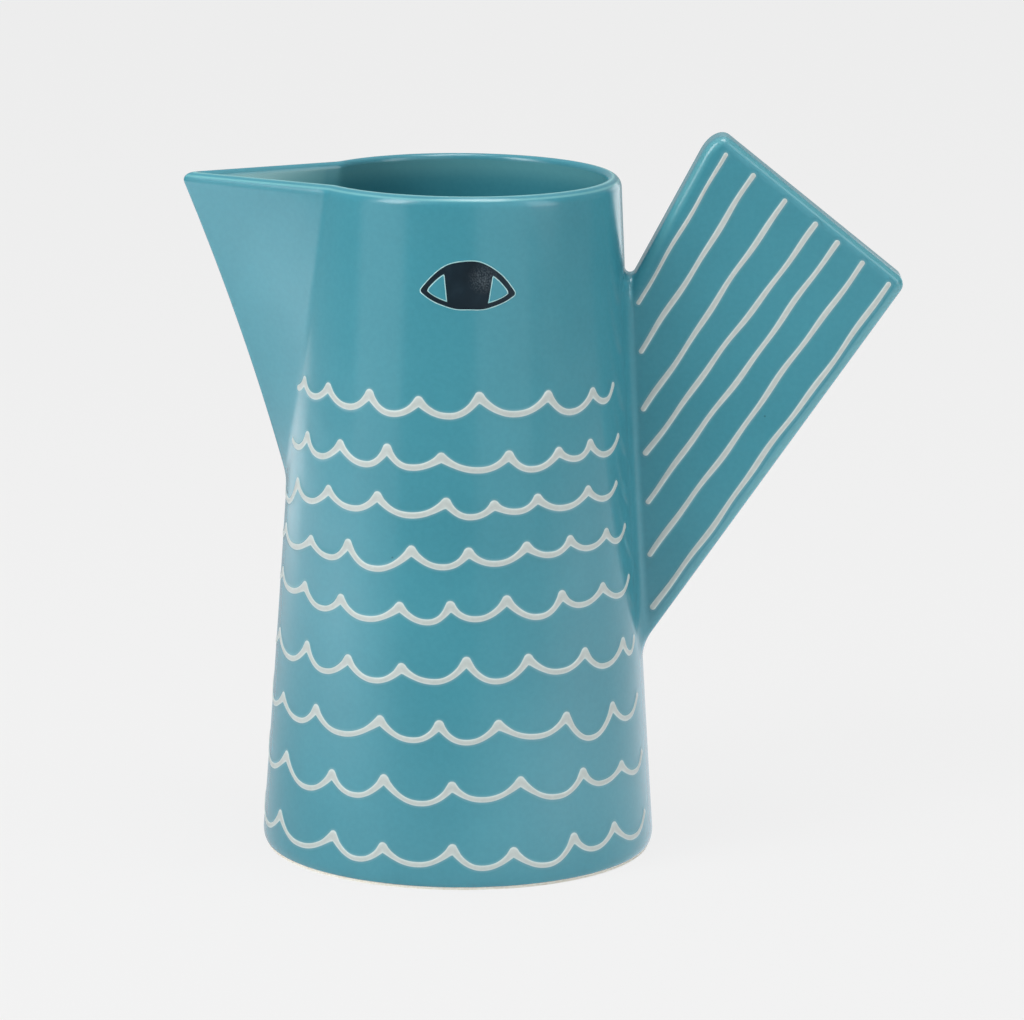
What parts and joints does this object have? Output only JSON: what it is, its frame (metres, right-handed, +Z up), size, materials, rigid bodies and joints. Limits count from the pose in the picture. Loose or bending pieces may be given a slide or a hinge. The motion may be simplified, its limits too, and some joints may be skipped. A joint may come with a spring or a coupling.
{
  "type": "bird-shaped jug",
  "caption": "Tapered round stoneware jug shaped like a bird: folded beak spout, flat slab tail handle, an eye on each side, raised scallop rows and tail stripes.",
  "frame": {"origin": "centre of the flat underside that the jug stands on, on the axis of the body", "axes": "+Z up along the body's axis, +X towards the tail handle, -X towards the beak spout, -Y the bird's left side"},
  "size_m": [0.1982, 0.1102, 0.201],
  "materials": {
    "teal_glaze": "satin teal glaze on stoneware",
    "trailed_clay": "bare pale clay line, matt",
    "foot_clay": "bare cream clay, matt, glazed on its upper face",
    "eye_slip": "dark slip under a satin glaze"
  },
  "bodies": {
    "root": {"body_wall": "teal_glaze", "base_slab": "foot_clay", "beak_spout": "teal_glaze", "tail_handle": "teal_glaze", "eye_left": "eye_slip", "eye_right": "eye_slip", "scallop_row_1_left": "trailed_clay", "scallop_row_1_right": "trailed_clay", "scallop_row_2_left": "trailed_clay", "scallop_row_2_right": "trailed_clay", "scallop_row_3": "trailed_clay", "scallop_row_4": "trailed_clay", "scallop_row_5": "trailed_clay", "scallop_row_6": "trailed_clay", "scallop_row_7": "trailed_clay", "scallop_row_8": "trailed_clay", "scallop_row_9": "trailed_clay", "tail_stripe_left_1": "trailed_clay", "tail_stripe_left_2": "trailed_clay", "tail_stripe_left_3": "trailed_clay", "tail_stripe_left_4": "trailed_clay", "tail_stripe_left_5": "trailed_clay", "tail_stripe_left_6": "trailed_clay", "tail_stripe_left_7": "trailed_clay", "tail_stripe_right_1": "trailed_clay", "tail_stripe_right_2": "trailed_clay", "tail_stripe_right_3": "trailed_clay", "tail_stripe_right_4": "trailed_clay", "tail_stripe_right_5": "trailed_clay", "tail_stripe_right_6": "trailed_clay", "tail_stripe_right_7": "trailed_clay"}
  },
  "joints": []
}
